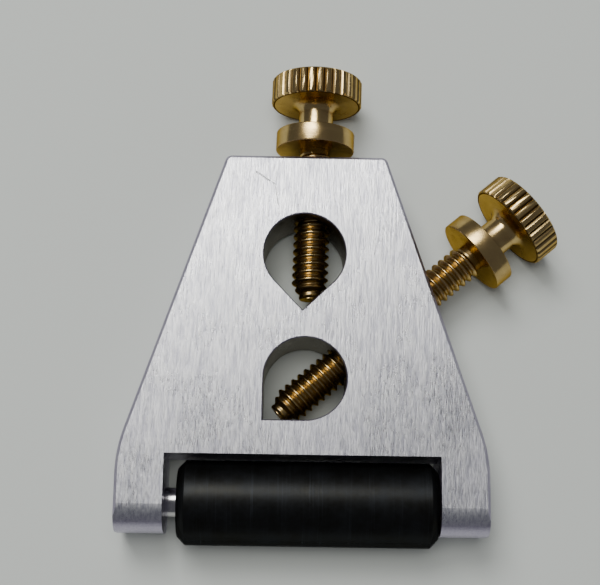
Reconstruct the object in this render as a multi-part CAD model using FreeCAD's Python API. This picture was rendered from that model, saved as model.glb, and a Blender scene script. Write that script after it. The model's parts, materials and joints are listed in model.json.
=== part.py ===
import FreeCAD, Part
import math
import os

from FreeCAD import Rotation, Vector

# Honing guide for small carving tools.  A flat aluminium block tapers from two legs up to a
# narrow top edge.  A steel axle is pressed through the legs and carries a steel roller.  The
# block has two tool holes, each a round hole with a square corner that centres the tool, and
# a brass thumbscrew pushes the tool into each corner: one through the top edge, the other
# through a tapered side.
#
# Frame: origin on the roller's axis, midway between the legs and midway through the block's
# thickness.  +X runs along the roller, +Y towards the top edge and +Z out of the front face.
# Lengths are millimetres, angles degrees.

# ---- roller and axle --------------------------------------------------------------------
ROLLER_LENGTH = 33.25
ROLLER_PROUD = 0.65            # how far the roller stands out of the front and back faces
ROLLER_CHAMFER = 1.0
ROLLER_GAP_RIGHT = 0.15        # between the roller's right end and the right leg
ROLLER_GAP_LEFT = 1.65
ROLLER_HEADROOM = 0.45         # between the roller and the closed end of the slot
AXLE_DIAMETER = 3.75
AXLE_CLEARANCE = 0.05          # radial, between the axle and the roller's bore
AXLE_RECESS = 0.3              # each end of the axle lies this far inside the leg
AXLE_CHAMFER = 0.3

# ---- block ------------------------------------------------------------------------------
BLOCK_THICKNESS = 9.525
AXLE_TO_TOP = 45.35
AXLE_TO_SHOULDER = 6.2         # where the tapered sides meet the upright sides of the legs
TOP_WIDTH = 21.1
LEG_WIDTH = 6.15
LEG_SHORTFALL = 1.5            # the legs end this far short of the roller's underside
LEG_NOSE_RADIUS = 3.4
LEG_NOSE_FLAT = 0.5            # half the least flat left between a leg's two rounded edges
SHOULDER_RADIUS = 18.0
TOP_CORNER_RADIUS = 0.9
FACE_BEVEL = 0.4               # 45 degree bevel round the front and back faces
HOLE_BEVEL = 0.15              # broken edges of the tool holes

# ---- tool holes -------------------------------------------------------------------------
TOOL_HOLE_DIAMETER = 10.7
END_HOLE_X = -0.1
END_HOLE_BELOW_TOP = 13.25
SIDE_HOLE_X = 0.15
SIDE_HOLE_ABOVE_SLOT = 9.75
SIDE_CORNER_DIRECTION = 225.0  # the side hole's square corner points to the lower left

# ---- thumbscrews ------------------------------------------------------------------------
THREAD_DIAMETER = 4.83
THREAD_PITCH = 25.4 / 24
THREAD_DEPTH = 0.5
THREAD_CLEARANCE = 0.05        # radial, between the thread's crests and the tapped bore
THREAD_RELIEF = 0.5            # plain length between the thread and the collar
TIP_DIAMETER = 2.6
TIP_LENGTH = 2.1
COLLAR_DIAMETER = 10.6
COLLAR_THICKNESS = 2.5
COLLAR_CHAMFER = 0.15
NECK_DIAMETER = 4.7
NECK_LENGTH = 4.0
NECK_FLARE = 1.2               # fillet where the neck runs into the head
HEAD_DIAMETER = 12.3
HEAD_THICKNESS = 3.5
HEAD_CHAMFER = 0.2
KNURL_COUNT = 32
KNURL_DEPTH = 0.4
KNURL_CREST = 0.4              # uncut share of each tooth's width

END_AXIS_OFFSET = 0.85         # the end screw's bore lies this far right of its hole's centre
END_AXIS_DIRECTION = 88.6      # from +X; it leans a little to the right
END_TIP_STANDOFF = 0.15        # between the point and the corner that it closes on, at rest
END_COLLAR_GAP = 2.15          # between the block's top edge and the collar, at rest
SIDE_AXIS_OFFSET = 0.95        # the side screw's bore lies this far below its hole's centre
SIDE_AXIS_DIRECTION = 40.25
SIDE_TIP_STANDOFF = 0.3
SIDE_COLLAR_GAP = 7.7          # between the tapered side and the collar, at rest

# ---- worked out from these --------------------------------------------------------------
ROLLER_RADIUS = BLOCK_THICKNESS / 2 + ROLLER_PROUD
SLOT_WIDTH = ROLLER_GAP_LEFT + ROLLER_LENGTH + ROLLER_GAP_RIGHT
SLOT_TOP = ROLLER_RADIUS + ROLLER_HEADROOM
LEG_END = -(ROLLER_RADIUS - LEG_SHORTFALL)
BLOCK_WIDTH = SLOT_WIDTH + 2 * LEG_WIDTH
THREAD_RADIUS = THREAD_DIAMETER / 2
HOLE_RADIUS = TOOL_HOLE_DIAMETER / 2
END_HOLE = Vector(END_HOLE_X, AXLE_TO_TOP - END_HOLE_BELOW_TOP, 0)
SIDE_HOLE = Vector(SIDE_HOLE_X, SLOT_TOP + SIDE_HOLE_ABOVE_SLOT, 0)
END_CORNER_DIRECTION = END_AXIS_DIRECTION + 180.0


def unit(degrees):
    """Unit vector in the block's plane, at an angle from +X."""
    angle = math.radians(degrees)
    return Vector(math.cos(angle), math.sin(angle), 0)


def prism(points, bottom, height):
    """Straight-sided solid on a closed outline in the block's plane."""
    corners = [Vector(x, y, bottom) for x, y in points]
    return Part.Face(Part.makePolygon(corners + corners[:1])).extrude(Vector(0, 0, height))


def turned(outline):
    """Solid of revolution about Z from an outline of (radius, height) points and arcs.

    An outline item with three pairs is an arc: its middle point and its end point follow
    its start.
    """
    edges = []
    for item, following in zip(outline, outline[1:] + outline[:1]):
        start = Vector(item[-2], 0, item[-1])
        if len(following) == 4:
            middle = Vector(following[0], 0, following[1])
            end = Vector(following[2], 0, following[3])
            edges.append(Part.Arc(start, middle, end).toShape())
        else:
            end = Vector(following[0], 0, following[1])
            edges.append(Part.LineSegment(start, end).toShape())
    face = Part.Face(Part.Wire(edges))
    return face.revolve(Vector(0, 0, 0), Vector(0, 0, 1), 360)


# ---- block ------------------------------------------------------------------------------
def tapered_plate():
    """The block's outline at full thickness, with rounded corners and bevelled faces."""
    half_width = BLOCK_WIDTH / 2
    half_top = TOP_WIDTH / 2
    below_legs = LEG_END - BLOCK_THICKNESS
    outline = [
        (-half_width, below_legs),
        (half_width, below_legs),
        (half_width, AXLE_TO_SHOULDER),
        (half_top, AXLE_TO_TOP),
        (-half_top, AXLE_TO_TOP),
        (-half_width, AXLE_TO_SHOULDER),
    ]
    plate = prism(outline, -BLOCK_THICKNESS / 2, BLOCK_THICKNESS)
    for radius, height in ((SHOULDER_RADIUS, AXLE_TO_SHOULDER), (TOP_CORNER_RADIUS, AXLE_TO_TOP)):
        upright = [
            edge
            for edge in plate.Edges
            if all(abs(vertex.Y - height) < 1e-6 for vertex in edge.Vertexes)
            and abs(edge.BoundBox.ZLength - BLOCK_THICKNESS) < 1e-6
        ]
        plate = plate.makeFillet(radius, upright)
    rim = [
        edge
        for edge in plate.Edges
        if edge.BoundBox.ZLength < 1e-6 and edge.BoundBox.YMax > below_legs + 1e-6
    ]
    return plate.makeChamfer(FACE_BEVEL, rim)


def nosed_bar():
    """Bar across the block that rounds the front and back edges of the leg ends."""
    half = BLOCK_THICKNESS / 2
    radius = min(LEG_NOSE_RADIUS, half - LEG_NOSE_FLAT)
    lean = radius * math.sqrt(0.5)
    top = AXLE_TO_TOP + BLOCK_THICKNESS
    arc_back = (LEG_END + radius, -half + radius)
    arc_front = (LEG_END + radius, half - radius)
    across = -BLOCK_WIDTH

    def point(y, z):
        return Vector(across, y, z)

    edges = [
        Part.LineSegment(point(top, half), point(top, -half)),
        Part.LineSegment(point(top, -half), point(arc_back[0], -half)),
        Part.Arc(
            point(arc_back[0], -half),
            point(arc_back[0] - lean, arc_back[1] - lean),
            point(LEG_END, arc_back[1]),
        ),
        Part.LineSegment(point(LEG_END, arc_back[1]), point(LEG_END, arc_front[1])),
        Part.Arc(
            point(LEG_END, arc_front[1]),
            point(arc_front[0] - lean, arc_front[1] + lean),
            point(arc_front[0], half),
        ),
        Part.LineSegment(point(arc_front[0], half), point(top, half)),
    ]
    profile = Part.Face(Part.Wire([edge.toShape() for edge in edges]))
    return profile.extrude(Vector(2 * BLOCK_WIDTH, 0, 0))


def roller_slot():
    """Space between the legs for the roller."""
    width = Vector(SLOT_WIDTH, 0, 0)
    depth = SLOT_TOP - LEG_END + BLOCK_THICKNESS
    start = Vector(-SLOT_WIDTH / 2, SLOT_TOP - depth, -BLOCK_THICKNESS)
    return Part.makeBox(width.x, depth, 2 * BLOCK_THICKNESS, start)


def tool_hole(centre, corner_direction):
    """Round hole drawn out to a square corner whose sides are tangent to the round part."""
    apex = centre + unit(corner_direction) * (HOLE_RADIUS * math.sqrt(2))
    start = centre + unit(corner_direction + 45) * HOLE_RADIUS
    middle = centre + unit(corner_direction + 180) * HOLE_RADIUS
    end = centre + unit(corner_direction - 45) * HOLE_RADIUS
    edges = [
        Part.Arc(start, middle, end),
        Part.LineSegment(end, apex),
        Part.LineSegment(apex, start),
    ]
    outline = Part.Wire([edge.toShape() for edge in edges])
    outline.translate(Vector(0, 0, -BLOCK_THICKNESS))
    return Part.Face(outline).extrude(Vector(0, 0, 2 * BLOCK_THICKNESS))


def tapped_bore(foot, direction):
    """Bore for a thumbscrew, from the middle of a tool hole outwards."""
    reach = BLOCK_WIDTH + AXLE_TO_TOP
    return Part.makeCylinder(THREAD_RADIUS + THREAD_CLEARANCE, reach, foot, unit(direction))


def block():
    solid = tapered_plate().common(nosed_bar())
    solid = solid.cut(roller_slot())
    for centre, corner in ((END_HOLE, END_CORNER_DIRECTION), (SIDE_HOLE, SIDE_CORNER_DIRECTION)):
        solid = solid.cut(tool_hole(centre, corner))
    faces = [
        face
        for face in solid.Faces
        if face.BoundBox.ZLength < 1e-6 and len(face.Wires) > 1
    ]
    hole_edges = [
        edge
        for face in faces
        for wire in face.Wires
        if not wire.isSame(face.OuterWire)
        for edge in wire.Edges
    ]
    solid = solid.makeChamfer(HOLE_BEVEL, hole_edges)
    for foot, direction in (END_AXIS, SIDE_AXIS):
        solid = solid.cut(tapped_bore(foot, direction))
    axle_bore = Part.makeCylinder(
        AXLE_DIAMETER / 2, 2 * BLOCK_WIDTH, Vector(-BLOCK_WIDTH, 0, 0), Vector(1, 0, 0)
    )
    return solid.cut(axle_bore).Solids[0]


# ---- roller and axle --------------------------------------------------------------------
def chamfered_rod(length, radius, chamfer):
    """Outline of a rod along Z that starts at height 0."""
    return [
        (0, 0),
        (radius - chamfer, 0),
        (radius, chamfer),
        (radius, length - chamfer),
        (radius - chamfer, length),
        (0, length),
    ]


def along_x(solid, start_x):
    """Lays a solid that stands on Z along +X, from start_x."""
    solid.rotate(Vector(0, 0, 0), Vector(0, 1, 0), 90)
    solid.translate(Vector(start_x, 0, 0))
    return solid


def roller():
    rod = turned(chamfered_rod(ROLLER_LENGTH, ROLLER_RADIUS, ROLLER_CHAMFER))
    bore = Part.makeCylinder(AXLE_DIAMETER / 2 + AXLE_CLEARANCE, ROLLER_LENGTH)
    return along_x(rod.cut(bore), -SLOT_WIDTH / 2 + ROLLER_GAP_LEFT)


def roller_axle():
    length = BLOCK_WIDTH - 2 * AXLE_RECESS
    rod = turned(chamfered_rod(length, AXLE_DIAMETER / 2, AXLE_CHAMFER))
    return along_x(rod, -length / 2)


# ---- thumbscrews ------------------------------------------------------------------------
def axis_foot(centre, direction, offset):
    """Point of a screw's axis beside the hole's centre, offset to the right of its way out."""
    return centre + unit(direction - 90) * offset


def corner_stop(axis, centre, corner_direction):
    """Distance along the axis, from its foot, where the screw's point meets the corner."""
    foot, direction = axis
    along = unit(direction)
    apex = centre + unit(corner_direction) * (HOLE_RADIUS * math.sqrt(2))
    stops = []
    for wall_normal in (unit(corner_direction + 135), unit(corner_direction - 135)):
        for side in (-TIP_DIAMETER / 2, TIP_DIAMETER / 2):
            edge = foot + unit(direction + 90) * side
            stops.append((apex - edge).dot(wall_normal) / along.dot(wall_normal))
    return max(stops)


def way_out(axis, corner_a, corner_b):
    """Distance along the axis, from its foot, to the straight side between two corners."""
    foot, direction = axis
    side = corner_b - corner_a
    normal = Vector(side.y, -side.x, 0)
    return (corner_a - foot).dot(normal) / unit(direction).dot(normal)


def thread_outline(start, end):
    """Crests and roots of the thread, as (radius, height), from start to end."""
    crest = THREAD_PITCH / 8
    points = []
    for turn in range(int((end - start) / THREAD_PITCH)):
        base = start + turn * THREAD_PITCH
        points.append((THREAD_RADIUS, base))
        points.append((THREAD_RADIUS, base + crest))
        points.append((THREAD_RADIUS - THREAD_DEPTH, base + (THREAD_PITCH + crest) / 2))
    last = points[-3][1] + THREAD_PITCH
    return points + [(THREAD_RADIUS, last), (THREAD_RADIUS, last + crest)]


def knurl_cutter(base):
    """What the straight knurl removes from the rim of the head."""
    step = 360.0 / KNURL_COUNT
    radius = HEAD_DIAMETER / 2
    points = []
    for tooth in range(KNURL_COUNT):
        for share, depth in ((-KNURL_CREST / 2, 0), (KNURL_CREST / 2, 0), (0.5, KNURL_DEPTH)):
            spoke = unit((tooth + share) * step) * (radius - depth)
            points.append((spoke.x, spoke.y))
    toothed = prism(points, base, HEAD_THICKNESS)
    around = Part.makeCylinder(HEAD_DIAMETER, HEAD_THICKNESS, Vector(0, 0, base))
    return around.cut(toothed)


def thumbscrew(shank_length):
    """Thumbscrew on Z with its point at the origin; shank_length is from point to collar."""
    collar = COLLAR_DIAMETER / 2
    neck = NECK_DIAMETER / 2
    head = HEAD_DIAMETER / 2
    root = THREAD_RADIUS - THREAD_DEPTH
    collar_top = shank_length + COLLAR_THICKNESS
    head_base = collar_top + NECK_LENGTH
    head_top = head_base + HEAD_THICKNESS
    flare = NECK_FLARE * (1 - math.sqrt(0.5))
    outline = [(0, 0), (TIP_DIAMETER / 2, 0)]
    outline += thread_outline(TIP_LENGTH, shank_length - THREAD_RELIEF - THREAD_PITCH)
    outline += [
        (root, shank_length - THREAD_RELIEF),
        (root, shank_length),
        (collar - COLLAR_CHAMFER, shank_length),
        (collar, shank_length + COLLAR_CHAMFER),
        (collar, collar_top - COLLAR_CHAMFER),
        (collar - COLLAR_CHAMFER, collar_top),
        (neck, collar_top),
        (neck, head_base - NECK_FLARE),
        (neck + flare, head_base - flare, neck + NECK_FLARE, head_base),
        (head - HEAD_CHAMFER, head_base),
        (head, head_base + HEAD_CHAMFER),
        (head, head_top - HEAD_CHAMFER),
        (head - HEAD_CHAMFER, head_top),
        (0, head_top),
    ]
    return turned(outline).cut(knurl_cutter(head_base))


def placed_thumbscrew(axis, tip, shank_length):
    """Thumbscrew on its axis, with its point at the distance tip from the axis's foot."""
    foot, direction = axis
    screw = thumbscrew(shank_length)
    screw.Placement.Rotation = Rotation(Vector(0, 0, 1), unit(direction))
    screw.Placement.Base = foot + unit(direction) * tip
    return screw


END_AXIS = (axis_foot(END_HOLE, END_AXIS_DIRECTION, END_AXIS_OFFSET), END_AXIS_DIRECTION)
SIDE_AXIS = (axis_foot(SIDE_HOLE, SIDE_AXIS_DIRECTION, SIDE_AXIS_OFFSET), SIDE_AXIS_DIRECTION)


def end_thumbscrew():
    tip = corner_stop(END_AXIS, END_HOLE, END_CORNER_DIRECTION) + END_TIP_STANDOFF
    top_left = Vector(-TOP_WIDTH / 2, AXLE_TO_TOP, 0)
    top_right = Vector(TOP_WIDTH / 2, AXLE_TO_TOP, 0)
    surface = way_out(END_AXIS, top_left, top_right)
    return placed_thumbscrew(END_AXIS, tip, surface - tip + END_COLLAR_GAP)


def side_thumbscrew():
    tip = corner_stop(SIDE_AXIS, SIDE_HOLE, SIDE_CORNER_DIRECTION) + SIDE_TIP_STANDOFF
    top = Vector(TOP_WIDTH / 2, AXLE_TO_TOP, 0)
    shoulder = Vector(BLOCK_WIDTH / 2, AXLE_TO_SHOULDER, 0)
    surface = way_out(SIDE_AXIS, top, shoulder)
    return placed_thumbscrew(SIDE_AXIS, tip, surface - tip + SIDE_COLLAR_GAP)


PIECES = {
    "block": block,
    "roller_axle": roller_axle,
    "roller": roller,
    "end_thumbscrew": end_thumbscrew,
    "side_thumbscrew": side_thumbscrew,
}

os.makedirs("parts", exist_ok=True)
for name, make in PIECES.items():
    make().exportStep(f"parts/{name}.step")
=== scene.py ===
import json
import math

import bmesh
import bpy
from mathutils import Matrix, Vector


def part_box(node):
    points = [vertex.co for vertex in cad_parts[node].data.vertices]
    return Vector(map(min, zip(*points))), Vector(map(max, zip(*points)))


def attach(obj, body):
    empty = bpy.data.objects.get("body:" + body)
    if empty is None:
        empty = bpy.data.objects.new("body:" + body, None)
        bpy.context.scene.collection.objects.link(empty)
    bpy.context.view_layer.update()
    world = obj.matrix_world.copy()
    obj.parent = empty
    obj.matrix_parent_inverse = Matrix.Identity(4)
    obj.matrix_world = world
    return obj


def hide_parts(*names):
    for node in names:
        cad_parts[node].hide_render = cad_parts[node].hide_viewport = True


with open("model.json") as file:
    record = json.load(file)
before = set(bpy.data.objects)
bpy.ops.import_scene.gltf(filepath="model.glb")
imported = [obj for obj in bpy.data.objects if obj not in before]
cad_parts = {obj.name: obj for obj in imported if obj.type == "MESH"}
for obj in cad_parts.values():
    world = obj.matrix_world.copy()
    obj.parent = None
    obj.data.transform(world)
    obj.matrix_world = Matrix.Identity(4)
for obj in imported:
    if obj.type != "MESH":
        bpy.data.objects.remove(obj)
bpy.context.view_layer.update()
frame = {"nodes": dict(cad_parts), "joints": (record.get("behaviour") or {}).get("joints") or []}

# Lengths are millimetres while a piece is being shaped.  Each finished mesh is brought to
# metres and to its own place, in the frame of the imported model.
MM = 0.001

# ---- sizes of the turned pieces ----------------------------------------------------------
THREAD_RADIUS = 2.415
THREAD_PITCH = 25.4 / 24
THREAD_DEPTH = 0.5
THREAD_RELIEF = 0.5
TIP_RADIUS = 1.3
TIP_LENGTH = 2.1
COLLAR_RADIUS = 5.3
COLLAR_THICKNESS = 2.5
NECK_RADIUS = 2.35
NECK_LENGTH = 4.0
NECK_FLARE = 1.2
HEAD_RADIUS = 6.15
HEAD_THICKNESS = 3.5
HEAD_CHAMFER = 0.2
HEAD_DISH_DEPTH = 0.2
KNURL_COUNT = 32
KNURL_DEPTH = 0.4
STEPS_PER_FLUTE = 4
SCREW_STEPS = KNURL_COUNT * STEPS_PER_FLUTE
KNURL_ROUND = 0.06
CREST_ROUND = 0.03
ROOT_ROUND = 0.04
EDGE_ROUND = 0.12
ROLLER_CHAMFER = 1.0
ROLLER_EDGE_ROUND = 0.06
ROLLER_FACE_STEP = 0.03
BORE_COUNTERSINK = 0.35
BORE_CLEARANCE = 0.05
AXLE_RADIUS = 1.875
AXLE_END_ROUND = 0.3
ROLLER_STEPS = 128

# ---- places, in metres -------------------------------------------------------------------
FLOOR_GAP = 0.00003
LIGHT_AIM = (0, 0.025, 0)
CAMERA_EYE = (-0.00235, -0.01173, 0.17508)
CAMERA_AIM = (-0.00061, 0.02786, 0)
CAMERA_ROLL = 0.84             # degrees
SENSOR_WIDTH = 36.0            # millimetres, as is the lens
LENS = 81.0


# ---- shaping -----------------------------------------------------------------------------
def polyline(shape, points):
    """Chain of edges through (radius, height) points, on the +X side of the Z axis."""
    verts = [shape.verts.new((radius, 0, height)) for radius, height in points]
    edges = [shape.edges.new(pair) for pair in zip(verts, verts[1:])]
    return verts + edges


def quarter(centre, radius, start, end, count=4):
    """Points of an arc about a centre, between two angles in degrees."""
    points = []
    for step in range(count + 1):
        angle = math.radians(start + (end - start) * step / count)
        points.append((centre[0] + radius * math.cos(angle), centre[1] + radius * math.sin(angle)))
    return points


def turn(shape, points, steps):
    """Turns a chain of points about Z, as on a lathe."""
    bmesh.ops.spin(
        shape, geom=polyline(shape, points), cent=(0, 0, 0), axis=(0, 0, 1), dvec=(0, 0, 0),
        angle=math.tau, steps=steps, use_merge=True,
    )


def clean(shape):
    """Closes seams and poles and points every face outwards."""
    bmesh.ops.remove_doubles(shape, verts=shape.verts, dist=1e-4)
    bmesh.ops.dissolve_degenerate(shape, edges=shape.edges, dist=1e-5)
    bmesh.ops.recalc_face_normals(shape, faces=shape.faces)


def finished(shape, name, place, sharp_angle=32):
    """Puts a shape in its place, in metres, as a named object with smooth curved faces."""
    bmesh.ops.transform(shape, matrix=place @ Matrix.Scale(MM, 4), verts=shape.verts)
    mesh = bpy.data.meshes.new(name)
    shape.to_mesh(mesh)
    shape.free()
    mesh.shade_smooth()
    mesh.set_sharp_from_angle(angle=math.radians(sharp_angle))
    piece = bpy.data.objects.new(name, mesh)
    bpy.context.scene.collection.objects.link(piece)
    return piece


# ---- thumbscrews -------------------------------------------------------------------------
def screw_place(node, joint):
    """Where a thumbscrew's point lies and which way it faces, and its length, from the frame."""
    along = Vector(next(j["axis"] for j in frame["joints"] if j["name"] == joint)).normalized()
    across = Vector((0, 0, 1)).cross(along)
    points = [vertex.co for vertex in frame["nodes"][node].data.vertices]
    heights = [point.dot(along) for point in points]
    offsets = [point.dot(across) for point in points]
    point = along * min(heights) + across * (min(offsets) + max(offsets)) / 2
    turned = along.to_track_quat("Z", "Y").to_matrix().to_4x4()
    return Matrix.Translation(point) @ turned, (max(heights) - min(heights)) / MM


def crest_radius(height, shank):
    """Radius of the threaded shank's crests at a height: cone point, thread, then relief."""
    if height < TIP_LENGTH:
        return TIP_RADIUS + (THREAD_RADIUS - TIP_RADIUS) * max(height, 0) / TIP_LENGTH
    run_out = (shank - THREAD_RELIEF - height) / THREAD_RELIEF
    return THREAD_RADIUS - THREAD_DEPTH * (1 - min(max(run_out, 0), 1))


def groove_depth(height, shank):
    """Depth of the thread at a height; it fades out over the point and into the relief."""
    fade_in = math.sqrt(max(height, 0) / TIP_LENGTH)
    fade_out = (shank - THREAD_RELIEF - height) / THREAD_RELIEF
    return THREAD_DEPTH * min(max(min(fade_in, fade_out), 0), 1)


def cut_thread(shape, shank):
    """Right-hand thread on the shank, trimmed to the point and to the relief by the collar."""
    root = THREAD_RADIUS - THREAD_DEPTH
    section = [
        (THREAD_RADIUS - CREST_ROUND, 0),
        (THREAD_RADIUS, THREAD_PITCH * 0.05),
        (THREAD_RADIUS, THREAD_PITCH * 0.15),
        (THREAD_RADIUS - CREST_ROUND, THREAD_PITCH * 0.2),
        (THREAD_RADIUS - THREAD_DEPTH * 0.5, THREAD_PITCH * 0.36),
        (root + ROOT_ROUND, THREAD_PITCH * 0.5),
        (root, THREAD_PITCH * 0.6),
        (root + ROOT_ROUND, THREAD_PITCH * 0.7),
        (THREAD_RADIUS - THREAD_DEPTH * 0.5, THREAD_PITCH * 0.84),
        (THREAD_RADIUS - CREST_ROUND, THREAD_PITCH),
    ]
    start = [(radius, height - THREAD_PITCH) for radius, height in section]
    bmesh.ops.spin(
        shape, geom=polyline(shape, start), cent=(0, 0, 0), axis=(0, 0, 1),
        dvec=(0, 0, THREAD_PITCH / SCREW_STEPS), angle=math.tau, steps=SCREW_STEPS,
    )
    one_turn = shape.verts[:] + shape.edges[:] + shape.faces[:]
    for number in range(1, math.ceil(shank / THREAD_PITCH) + 2):
        copied = bmesh.ops.duplicate(shape, geom=one_turn)["geom"]
        verts = [item for item in copied if isinstance(item, bmesh.types.BMVert)]
        bmesh.ops.translate(shape, vec=(0, 0, number * THREAD_PITCH), verts=verts)
    for vertex in shape.verts:
        radius = math.hypot(vertex.co.x, vertex.co.y)
        sunk = (THREAD_RADIUS - radius) / THREAD_DEPTH
        wanted = crest_radius(vertex.co.z, shank) - sunk * groove_depth(vertex.co.z, shank)
        vertex.co.x *= wanted / radius
        vertex.co.y *= wanted / radius
        vertex.co.z = min(max(vertex.co.z, 0), shank)


def cut_knurl(shape, base, top):
    """Straight flutes round the rim of the head: wide crests, softened, and narrow grooves."""
    crest_sides = set()
    for vertex in shape.verts:
        radius = math.hypot(vertex.co.x, vertex.co.y)
        if radius < HEAD_RADIUS - 1e-3 or not base < vertex.co.z < top:
            continue
        step = round(math.atan2(vertex.co.y, vertex.co.x) / math.tau * SCREW_STEPS)
        if step % STEPS_PER_FLUTE == STEPS_PER_FLUTE - 1:
            vertex.co.x *= 1 - KNURL_DEPTH / radius
            vertex.co.y *= 1 - KNURL_DEPTH / radius
        elif step % STEPS_PER_FLUTE in (0, STEPS_PER_FLUTE - 2):
            crest_sides.add(vertex)
    upright = [
        edge
        for edge in shape.edges
        if set(edge.verts) <= crest_sides and abs(edge.verts[0].co.z - edge.verts[1].co.z) > 1
    ]
    bmesh.ops.bevel(
        shape, geom=upright, offset=KNURL_ROUND, offset_type="OFFSET", segments=2, profile=0.5,
        affect="EDGES", material=-1, clamp_overlap=True,
    )


def thumbscrew(name, node, joint):
    """Turned thumbscrew: point, thread, plain collar, waisted neck and knurled head."""
    place, length = screw_place(node, joint)
    shank = length - COLLAR_THICKNESS - NECK_LENGTH - HEAD_THICKNESS
    collar_top = shank + COLLAR_THICKNESS
    head_base = collar_top + NECK_LENGTH
    head_top = head_base + HEAD_THICKNESS
    root = THREAD_RADIUS - THREAD_DEPTH
    rim = COLLAR_RADIUS - EDGE_ROUND
    outline = [(root, shank), (rim - 0.02, shank)]
    outline += quarter((rim, shank + EDGE_ROUND), EDGE_ROUND, -90, 0)
    outline += quarter((rim, collar_top - EDGE_ROUND), EDGE_ROUND, 0, 90)
    foot = (NECK_RADIUS + EDGE_ROUND, collar_top + EDGE_ROUND)
    outline += quarter(foot, EDGE_ROUND, 270, 180)
    flare = (NECK_RADIUS + NECK_FLARE, head_base - NECK_FLARE)
    outline += quarter(flare, NECK_FLARE, 180, 90, 8)
    outline += [
        (HEAD_RADIUS - HEAD_CHAMFER, head_base),
        (HEAD_RADIUS, head_base + HEAD_CHAMFER),
        (HEAD_RADIUS, head_top - HEAD_CHAMFER),
        (HEAD_RADIUS - HEAD_CHAMFER, head_top),
        (HEAD_RADIUS - 2 * HEAD_CHAMFER, head_top),
        (HEAD_RADIUS - 3 * HEAD_CHAMFER, head_top - HEAD_DISH_DEPTH),
        (0, head_top - HEAD_DISH_DEPTH),
    ]
    shape = bmesh.new()
    cut_thread(shape, shank)
    turn(shape, [(0, 0), (TIP_RADIUS, 0)], SCREW_STEPS)
    turn(shape, outline, SCREW_STEPS)
    clean(shape)
    cut_knurl(shape, head_base, head_top)
    clean(shape)
    return finished(shape, name, place), place


# ---- roller and axle ---------------------------------------------------------------------
def lying(node):
    """Place of a rod that lies along X: its left end, turned so that Z runs along it."""
    low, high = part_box(node)
    turned = Matrix.Rotation(math.radians(90), 4, "Y")
    return Matrix.Translation((low.x, 0, 0)) @ turned, (high.x - low.x) / MM


def roller():
    """Roller with bevelled ends and a countersunk bore."""
    place, length = lying("roller")
    low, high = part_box("roller")
    radius = (high.z - low.z) / 2 / MM
    bore = AXLE_RADIUS + BORE_CLEARANCE
    half = [
        (bore, length / 2),
        (bore, BORE_COUNTERSINK),
        (bore + BORE_COUNTERSINK, 0),
        (radius - ROLLER_CHAMFER - ROLLER_EDGE_ROUND, 0),
        (radius - ROLLER_CHAMFER, ROLLER_FACE_STEP),
        (radius - ROLLER_EDGE_ROUND, ROLLER_CHAMFER - ROLLER_EDGE_ROUND),
        (radius, ROLLER_CHAMFER + ROLLER_EDGE_ROUND),
        (radius, length / 2),
    ]
    mirrored = [(r, length - z) for r, z in reversed(half[1:-1])]
    shape = bmesh.new()
    turn(shape, half + mirrored + half[:1], ROLLER_STEPS)
    clean(shape)
    return finished(shape, "roller_turned", place, 25)


def axle():
    """Plain pin with softened ends."""
    place, length = lying("roller_axle")
    side = AXLE_RADIUS - AXLE_END_ROUND
    outline = [(0, 0)]
    outline += quarter((side, AXLE_END_ROUND), AXLE_END_ROUND, -90, 0)
    outline += quarter((side, length - AXLE_END_ROUND), AXLE_END_ROUND, 0, 90)
    outline += [(0, length)]
    shape = bmesh.new()
    turn(shape, outline, ROLLER_STEPS // 2)
    clean(shape)
    return finished(shape, "axle_pin", place)


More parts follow.
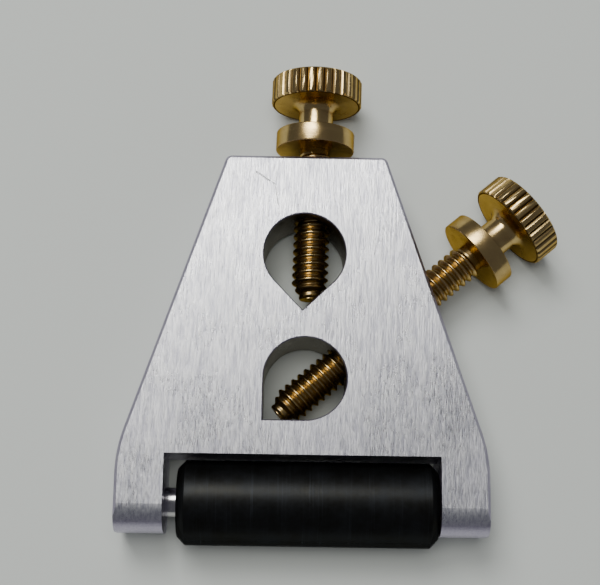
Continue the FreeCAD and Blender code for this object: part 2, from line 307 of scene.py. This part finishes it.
# ---- materials ---------------------------------------------------------------------------
class Finish:
    """A metal finish: one Principled shader and the nodes that vary it."""

    def __init__(self, name, **settings):
        self.material = bpy.data.materials.new(name)
        self.material.use_nodes = True
        self.tree = self.material.node_tree
        self.shader = self.tree.nodes["Principled BSDF"]
        for socket, value in settings.items():
            self.shader.inputs[socket.replace("_", " ")].default_value = value
        self.coords = self.tree.nodes.new("ShaderNodeTexCoord").outputs["Object"]

    def node(self, kind, output=0, **inputs):
        """New node; a linked output or a plain value goes to each named input."""
        made = self.tree.nodes.new("ShaderNode" + kind)
        for key, value in inputs.items():
            if hasattr(made, key) and isinstance(value, (str, bool)):
                setattr(made, key, value)
                continue
            socket = made.inputs[int(key[1:]) if key[0] == "i" and key[1:].isdigit() else key]
            if isinstance(value, bpy.types.NodeSocket):
                self.tree.links.new(value, socket)
            else:
                socket.default_value = value
        return made.outputs[output]

    def stretched(self, scale, location=(0, 0, 0)):
        """Coordinates scaled by a different amount along each axis."""
        return self.node("Mapping", Vector=self.coords, Scale=scale, Location=location)

    def noise(self, vector, scale=1.0, detail=3.0, roughness=0.5, distortion=0.0):
        return self.node(
            "TexNoise", Vector=vector, Scale=scale, Detail=detail, Roughness=roughness,
            Distortion=distortion,
        )

    def ranged(self, value, low, high, to_low=0.0, to_high=1.0):
        """Value moved from one range to another and held inside it."""
        return self.node("MapRange", i0=value, i1=low, i2=high, i3=to_low, i4=to_high)

    def maths(self, operation, first, second=0.0):
        return self.node("Math", operation=operation, i0=first, i1=second)

    def mix(self, share, first, second):
        """Colour between two colours."""
        return self.node("Mix", 2, data_type="RGBA", i0=share, i6=first, i7=second)

    def from_line(self, start, end):
        """Distance in the block's plane from a straight line between two points."""
        flat = self.node("VectorMath", operation="MULTIPLY", i0=self.coords, i1=(1, 1, 0))
        away = self.node("VectorMath", operation="SUBTRACT", i0=flat, i1=start)
        along = Vector(end) - Vector(start)
        if along.length > 0:
            share = self.node("VectorMath", 1, operation="DOT_PRODUCT", i0=away,
                              i1=along / along.length_squared)
            held = self.ranged(share, 0, 1)
            nearest = self.node("VectorMath", operation="SCALE", i0=along, Scale=held)
            away = self.node("VectorMath", operation="SUBTRACT", i0=away, i1=nearest)
        return self.node("VectorMath", 1, operation="LENGTH", i0=away)

    def link(self, socket, output):
        self.tree.links.new(output, self.shader.inputs[socket])

    def bump(self, height, distance, strength):
        return self.node("Bump", Strength=strength, Distance=distance, Height=height)


# Centres of the tool holes, and where two scratches start and end, in metres.
TOOL_HOLES = ((-0.0001, 0.0321, 0), (0.00015, 0.0156, 0))
SCRATCHES = (
    ((-0.0066, 0.0430, 0), (-0.0041, 0.0413, 0)),
    ((-0.0041, 0.0413, 0), (-0.0036, 0.0386, 0)),
)


def brushed_aluminium():
    """Bar stock brushed along its height, with nicks, smudges, and painted shade on the edges and
    in the bores.
    """
    f = Finish("brushed_aluminium", Metallic=1.0, Specular_IOR_Level=0.5)
    grain = f.noise(f.stretched((3300, 330, 3300)), detail=5, roughness=0.7)
    hairs = f.noise(f.stretched((9000, 900, 9000)), detail=3, roughness=0.6)
    nicks = f.noise(f.stretched((2600, 420, 2600), location=(3.1, 1.7, 0)), detail=4, roughness=0.6)
    smudges = f.noise(f.coords, scale=150, detail=4, roughness=0.6, distortion=0.4)
    normal = f.tree.nodes.new("ShaderNodeTexCoord").outputs["Normal"]
    facing = f.maths("ABSOLUTE", f.node("SeparateXYZ", 2, Vector=normal))
    # Painted dark reflection: every face not flat to the front or back, the edge chamfers above
    # all, is tinted dark purple-grey.
    edges = f.ranged(facing, 0.97, 0.75)
    upright = f.ranged(facing, 0.35, 0.1)
    # Painted shade: the upright walls of the two tool holes are darkened to a dark brown.
    bore_shade = f.maths("MULTIPLY", upright, f.maths("MAXIMUM", *(
        f.ranged(f.from_line(centre, centre), 0.0079, 0.0077) for centre in TOOL_HOLES
    )))
    scratch = f.maths("MULTIPLY", f.ranged(nicks, 0.3, 0.5), f.maths("MAXIMUM", *(
        f.ranged(f.from_line(start, end), 0.0, 0.00012, 1.0, 0.0) for start, end in SCRATCHES
    )))
    bright = f.mix(f.ranged(grain, 0.38, 0.58), (0.60, 0.60, 0.66, 1), (0.99, 0.99, 1.0, 1))
    dulled = f.mix(f.ranged(smudges, 0.52, 0.78, 0, 0.35), bright, (0.60, 0.59, 0.66, 1))
    marked = f.mix(f.maths("MAXIMUM", f.ranged(nicks, 0.55, 0.66), scratch), dulled, (1, 1, 1, 1))
    edge_shaded = f.mix(f.maths("MULTIPLY", edges, 0.75), marked, (0.42, 0.37, 0.52, 1))
    f.link("Base Color", f.mix(bore_shade, edge_shaded, (0.13, 0.11, 0.065, 1)))
    base_rough = f.ranged(smudges, 0.35, 0.7, 0.29, 0.40)
    varied = f.maths("ADD", base_rough, f.ranged(hairs, 0.4, 0.6, -0.06, 0.06))
    f.link("Roughness", varied)
    relief = f.maths("ADD", f.maths("MULTIPLY", grain, 0.9), f.maths("MULTIPLY", hairs, 0.5))
    relief = f.maths("SUBTRACT", relief, f.maths("MULTIPLY", scratch, 0.7))
    f.link("Normal", f.bump(relief, 0.00006, 0.7))
    return f.material


def turned_brass(name, place):
    """Turned brass in a screw's own frame: lathe rings, tarnish, and painted shade in the grooves.
    """
    f = Finish(name, Metallic=1.0, Specular_Tint=(0.5, 0.38, 0.2, 1))
    position, rotation, _ = place.decompose()
    own = f.node("Mapping", vector_type="TEXTURE", Vector=f.coords, Location=position,
                 Rotation=rotation.to_euler())
    flat = f.node("VectorMath", operation="MULTIPLY", i0=own, i1=(1, 1, 0))
    radius = f.node("VectorMath", 1, operation="LENGTH", i0=flat)
    height = f.node("SeparateXYZ", 2, Vector=own)
    lathe = f.node("CombineXYZ", X=radius, Y=height)
    rings = f.noise(lathe, scale=9000, detail=3, roughness=0.7)
    broad_rings = f.noise(lathe, scale=1500, detail=2)
    tarnish = f.noise(own, scale=420, detail=4, roughness=0.62, distortion=0.5)
    in_thread = f.ranged(radius, 0.00232, 0.00195)
    beside_shank = f.ranged(radius, 0.00243, 0.00246, 1.0, 0.0)
    in_knurl = f.ranged(radius, 0.00608, 0.00585)
    by_rim = f.ranged(radius, 0.00570, 0.00573)
    # Painted shade: the thread and knurl grooves are darkened towards a near-black brown and made a
    # little rougher.
    thread_groove_shade = f.maths("MULTIPLY", f.maths("MULTIPLY", in_thread, beside_shank), 0.25)
    groove_shade = f.maths("MAXIMUM", thread_groove_shade, f.maths("MULTIPLY", in_knurl, by_rim))
    golden = f.mix(f.ranged(broad_rings, 0.3, 0.7), (0.54, 0.39, 0.16, 1), (0.66, 0.48, 0.21, 1))
    aged = f.mix(f.ranged(tarnish, 0.42, 0.75, 0, 0.6), golden, (0.38, 0.26, 0.12, 1))
    f.link("Base Color", f.mix(f.maths("MULTIPLY", groove_shade, 0.95), aged, (0.07, 0.045, 0.02, 1)))
    worn = f.ranged(tarnish, 0.35, 0.7, 0.16, 0.30)
    f.link("Roughness", f.maths("ADD", worn, f.maths("MULTIPLY", groove_shade, 0.25)))
    f.link("Normal", f.bump(rings, 0.000008, 0.6))
    return f.material


def blackened_steel():
    """Black oxide finish over turning marks that run round the roller, rubbed in places."""
    f = Finish("blackened_steel", Metallic=0.9, Specular_Tint=(0.3, 0.3, 0.3, 1))
    marks = f.noise(f.stretched((9000, 70, 70)), detail=4, roughness=0.7)
    bands = f.noise(f.stretched((1500, 40, 40)), detail=2)
    blotches = f.noise(f.coords, scale=330, detail=5, roughness=0.65)
    dark = f.mix(f.ranged(blotches, 0.35, 0.7), (0.018, 0.018, 0.016, 1), (0.025, 0.027, 0.029, 1))
    rubbed = f.maths("MULTIPLY", f.ranged(marks, 0.55, 0.75), f.ranged(bands, 0.4, 0.65))
    f.link("Base Color", f.mix(f.maths("MULTIPLY", rubbed, 0.6), dark, (0.08, 0.09, 0.11, 1)))
    rough = f.ranged(blotches, 0.3, 0.75, 0.34, 0.50)
    f.link("Roughness", f.maths("ADD", rough, f.ranged(marks, 0.3, 0.7, -0.05, 0.05)))
    f.link("Normal", f.bump(f.maths("ADD", marks, f.maths("MULTIPLY", bands, 0.6)), 0.00002, 0.6))
    return f.material


def ground_steel():
    """Polished pin with faint rings and grey patches."""
    f = Finish("ground_steel", Metallic=1.0)
    marks = f.noise(f.stretched((12000, 90, 90)), detail=3, roughness=0.6)
    patches = f.noise(f.coords, scale=500, detail=3)
    greyed = f.ranged(patches, 0.3, 0.75)
    f.link("Base Color", f.mix(greyed, (0.62, 0.61, 0.60, 1), (0.42, 0.41, 0.42, 1)))
    f.link("Roughness", f.ranged(marks, 0.25, 0.75, 0.12, 0.26))
    f.link("Normal", f.bump(marks, 0.000006, 0.5))
    return f.material


def pale_floor():
    """Plain matt floor."""
    f = Finish("pale_floor", Roughness=0.85)
    tone = f.noise(f.coords, scale=9, detail=2)
    f.link("Base Color", f.mix(tone, (0.565, 0.595, 0.565, 1), (0.61, 0.64, 0.61, 1)))
    return f.material


# ---- the object --------------------------------------------------------------------------
def put(piece, body, node, finish):
    """Gives a piece its finish and its place in the frame."""
    piece.data.materials.append(finish)
    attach(piece, body)
    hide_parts(node)


block = frame["nodes"]["block"]
block.data.materials.clear()
block.data.materials.append(brushed_aluminium())

put(axle(), "guide_body", "roller_axle", ground_steel())
put(roller(), "roller", "roller", blackened_steel())
for end in ("end", "side"):
    screw, own_place = thumbscrew(f"{end}_screw_turned", f"{end}_thumbscrew", f"{end}_screw_travel")
    put(screw, f"{end}_thumbscrew", f"{end}_thumbscrew",
        turned_brass(f"{end}_screw_brass", own_place))


# ---- floor, lights and camera ------------------------------------------------------------
def low_point(node):
    """Lowest point of a CAD node; of several as low, the one furthest to the left."""
    points = (vertex.co for vertex in frame["nodes"][node].data.vertices)
    return min(points, key=lambda point: (round(point.z, 5), point.x))


def floor():
    """Floor through the three points the guide rests on: the roller's left end and both heads."""
    nodes = ("roller", "side_thumbscrew", "end_thumbscrew")
    corner, side, end = (low_point(node) for node in nodes)
    upward = (side - corner).cross(end - corner).normalized()
    leaning = Vector((0, 0, 1)).rotation_difference(upward).to_matrix().to_4x4()
    shape = bmesh.new()
    bmesh.ops.create_grid(shape, x_segments=1, y_segments=1, size=1.5)
    place = Matrix.Translation(corner - FLOOR_GAP * upward) @ leaning
    bmesh.ops.transform(shape, matrix=place, verts=shape.verts)
    mesh = bpy.data.meshes.new("floor")
    shape.to_mesh(mesh)
    shape.free()
    mesh.materials.append(pale_floor())
    plane = bpy.data.objects.new("floor", mesh)
    bpy.context.scene.collection.objects.link(plane)


def softbox(name, location, width, height, power, colour):
    """Rectangular studio light aimed at the middle of the object."""
    light = bpy.data.lights.new(name, "AREA")
    light.shape = "RECTANGLE"
    light.size = width
    light.size_y = height
    light.energy = power
    light.color = colour
    lamp = bpy.data.objects.new(name, light)
    lamp.location = location
    aim = Vector(LIGHT_AIM) - Vector(location)
    lamp.rotation_euler = aim.to_track_quat("-Z", "Y").to_euler()
    bpy.context.scene.collection.objects.link(lamp)
    return lamp


def studio():
    """One soft box above the far edge, an even light for the floor alone, and a dim room."""
    softbox("key_box", (-0.135, 0.305, 0.52), 0.28, 0.25, 2.35, (1.0, 0.995, 0.98))
    even = softbox("even_box", (-0.04, 0.05, 0.60), 0.30, 0.30, 1.75, (1.0, 0.995, 0.96))
    even.visible_glossy = False
    world = bpy.data.worlds.new("room")
    world.use_nodes = True
    world.node_tree.nodes["Background"].inputs["Color"].default_value = (0.54, 0.55, 0.62, 1)
    world.node_tree.nodes["Background"].inputs["Strength"].default_value = 0.22
    bpy.context.scene.world = world


def camera():
    """Camera above the roller end, looking a little towards the far edge."""
    lens = bpy.data.cameras.new("camera")
    lens.sensor_width = SENSOR_WIDTH
    lens.lens = LENS
    lens.clip_start = 0.01
    eye = Vector(CAMERA_EYE)
    aim = Vector(CAMERA_AIM)
    roll = math.radians(CAMERA_ROLL)
    forward = (aim - eye).normalized()
    right = forward.cross(Vector((0, 1, 0))).normalized()
    level = Matrix((right, right.cross(forward), -forward)).transposed()
    turned = level @ Matrix.Rotation(roll, 3, "Z")
    viewer = bpy.data.objects.new("camera", lens)
    viewer.matrix_world = Matrix.Translation(eye) @ turned.to_4x4()
    bpy.context.scene.collection.objects.link(viewer)
    bpy.context.scene.camera = viewer


floor()
studio()
camera()
